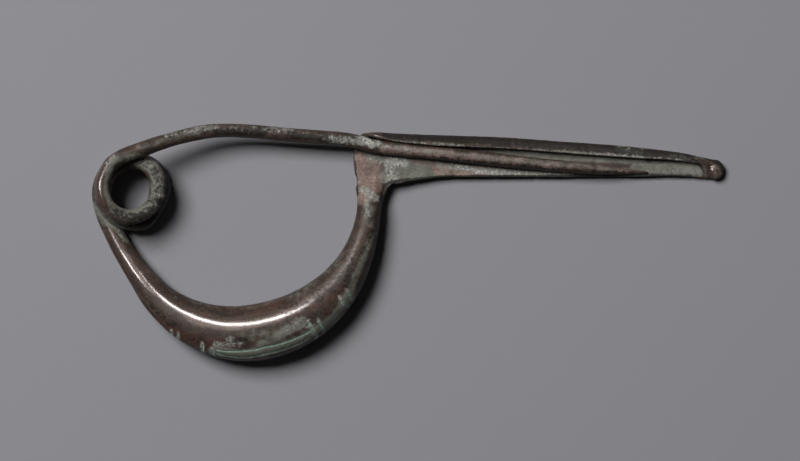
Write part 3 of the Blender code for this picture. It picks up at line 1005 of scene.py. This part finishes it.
def addRelief(tree, masks, position, grain):
    bump = bronze["bump"]
    fine = addNode(tree, "ShaderNodeTexNoise",
                   values={"Scale": bronze["bumpScale"], "Detail": 2.0, "Roughness": 0.6},
                   links={"Vector": position}).outputs["Fac"]
    unpolished = addMath(tree, "SUBTRACT", 1.0, masks["polish"])
    depth = addMath(tree, "MULTIPLY", unpolished, bump["brown"])
    depth = addMath(tree, "ADD", depth, bump["bare"])
    depth = addMath(tree, "ADD", depth, addMath(tree, "MULTIPLY", masks["film"], bump["film"]))
    lumps = addMath(tree, "MULTIPLY", masks["crust"], bump["crust"])
    lumps = addMath(tree, "MULTIPLY", grain["Height"], lumps)
    height = addMath(tree, "ADD", addMath(tree, "MULTIPLY", fine, depth), lumps)
    eaten = addMath(tree, "MULTIPLY", masks["sootAndShade"], bump["sootAndShade"])
    height = addMath(tree, "SUBTRACT", height, eaten)
    values = {"Strength": 1.0, "Distance": bronze["bumpDistance"] * mm}
    node = addNode(tree, "ShaderNodeBump", values=values, links={"Height": height})
    return node.outputs["Normal"]


def makeBronze():
    material = bpy.data.materials.new("patinaBronze")
    material.use_nodes = True
    tree = material.node_tree
    sockets = tree.nodes["Principled BSDF"].inputs
    sockets["IOR"].default_value = bronze["ior"]
    sockets["Coat Roughness"].default_value = bronze["coatRoughness"]
    sockets["Coat IOR"].default_value = bronze["coatIor"]

    where = addNode(tree, "ShaderNodeTexCoord").outputs["Object"]
    scaled = addNode(
        tree, "ShaderNodeVectorMath", {"operation": "SCALE"}, {"Scale": 1 / mm}, {0: where})
    position = scaled.outputs[0]
    mottle = addGroup(tree, makeMottle(), position, {"Scale": bronze["mottleScale"]})
    grain = addGroup(tree, makeCrustGrain(), position, {"Scale": bronze["grainScale"]})
    masks = addPatches(tree, position)
    dulled = addMath(tree, "SUBTRACT", 1.0, mottle["Fine"])
    dulled = addMath(tree, "MULTIPLY", dulled, bronze["polishDulled"])
    polish = addMath(tree, "MULTIPLY", addPaint(tree, "polish"), bronze["polishGain"])
    masks["polish"] = addMath(tree, "SUBTRACT", polish, dulled, clamp=True)

    covered = addMath(tree, "MAXIMUM", masks["film"], masks["rose"])
    covered = addMath(tree, "MAXIMUM", masks["crust"], covered)
    uncovered = addMath(tree, "SUBTRACT", 1.0, covered)
    bareShare = addMath(tree, "MULTIPLY", masks["polish"], uncovered)
    metallic = addRange(tree, bareShare, 0.0, 1.0, *bronze["metallic"], smooth=False)
    tree.links.new(addColour(tree, masks, mottle, grain), sockets["Base Color"])
    tree.links.new(addRoughness(tree, masks, mottle), sockets["Roughness"])
    tree.links.new(metallic, sockets["Metallic"])
    tree.links.new(bareShare, sockets["Coat Weight"])  # the worn metal's own gloss
    tree.links.new(addRelief(tree, masks, position, grain), sockets["Normal"])
    return material


fibula.data.materials.clear()
fibula.data.materials.append(makeBronze())
print("patina ready")

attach(fibula, "root")
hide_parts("fibula")


# floor, lights, camera

backdrop = {
    "size": 1.5,
    "colour": (0.337, 0.332, 0.356, 1.0),
    "roughness": 0.9,
    "specular": 0.1,
}
bm = bmesh.new()
bmesh.ops.create_grid(bm, x_segments=1, y_segments=1, size=backdrop["size"])
paper = newPiece("paper", bm)
paperMaterial = bpy.data.materials.new("greyPaper")
paperMaterial.use_nodes = True
paperSockets = paperMaterial.node_tree.nodes["Principled BSDF"].inputs
paperSockets["Base Color"].default_value = backdrop["colour"]
paperSockets["Roughness"].default_value = backdrop["roughness"]
paperSockets["Specular IOR Level"].default_value = backdrop["specular"]
paper.data.materials.append(paperMaterial)

studio = {
    "distance": 1.0,
    "keyDirection": (-0.54, 0.50, 1.0),
    "keySize": 0.42,
    "keyTurn": 45.0,  # degrees round its own axis
    "softboxPower": 9.1,
    "sheenPower": 5.9,
    "glintDirections": ((-0.60, 0.08, 1.0), (-0.16, 0.60, 1.0)),
    "glintSize": 0.16,
    "glintPower": 1.0,
    "ambient": 0.013,
}


def addSoftbox(name, direction, size, power, turn, onlyGloss):
    data = bpy.data.lights.new(name, "AREA")
    data.shape = "SQUARE"
    data.size = size
    data.energy = power
    lamp = bpy.data.objects.new(name, data)
    way = Vector(direction).normalized()
    twist = Quaternion((0, 0, 1), math.radians(turn))
    lamp.location = way * studio["distance"]
    lamp.rotation_mode = "QUATERNION"
    lamp.rotation_quaternion = way.to_track_quat("Z", "Y") @ twist
    lamp.visible_diffuse = not onlyGloss
    lamp.visible_glossy = onlyGloss
    scene.collection.objects.link(lamp)


for direction in studio["glintDirections"]:  # these only draw the streaks on the worn metal
    addSoftbox("glintLamp", direction, studio["glintSize"], studio["glintPower"], 0.0, True)
keyLamps = (("softbox", studio["softboxPower"], False), ("sheen", studio["sheenPower"], True))
for name, power, onlyGloss in keyLamps:
    addSoftbox(name, studio["keyDirection"], studio["keySize"], power, studio["keyTurn"], onlyGloss)

world = bpy.data.worlds.new("studioWorld")
world.use_nodes = True
background = world.node_tree.nodes["Background"].inputs
background["Color"].default_value = (1, 1, 1, 1)
background["Strength"].default_value = studio["ambient"]
scene.world = world

copyStand = {
    "place": (-1.683, 2.0, 604.0),
    "lens": 162.0,
    "sensorWidth": 36.0,
    "clip": (0.01, 10.0),
}
cameraData = bpy.data.cameras.new("copyCamera")
cameraData.lens = copyStand["lens"]
cameraData.sensor_width = copyStand["sensorWidth"]
cameraData.clip_start, cameraData.clip_end = copyStand["clip"]
camera = bpy.data.objects.new("copyCamera", cameraData)
camera.location = [value * mm for value in copyStand["place"]]
scene.collection.objects.link(camera)
scene.camera = camera
print("stage ready")
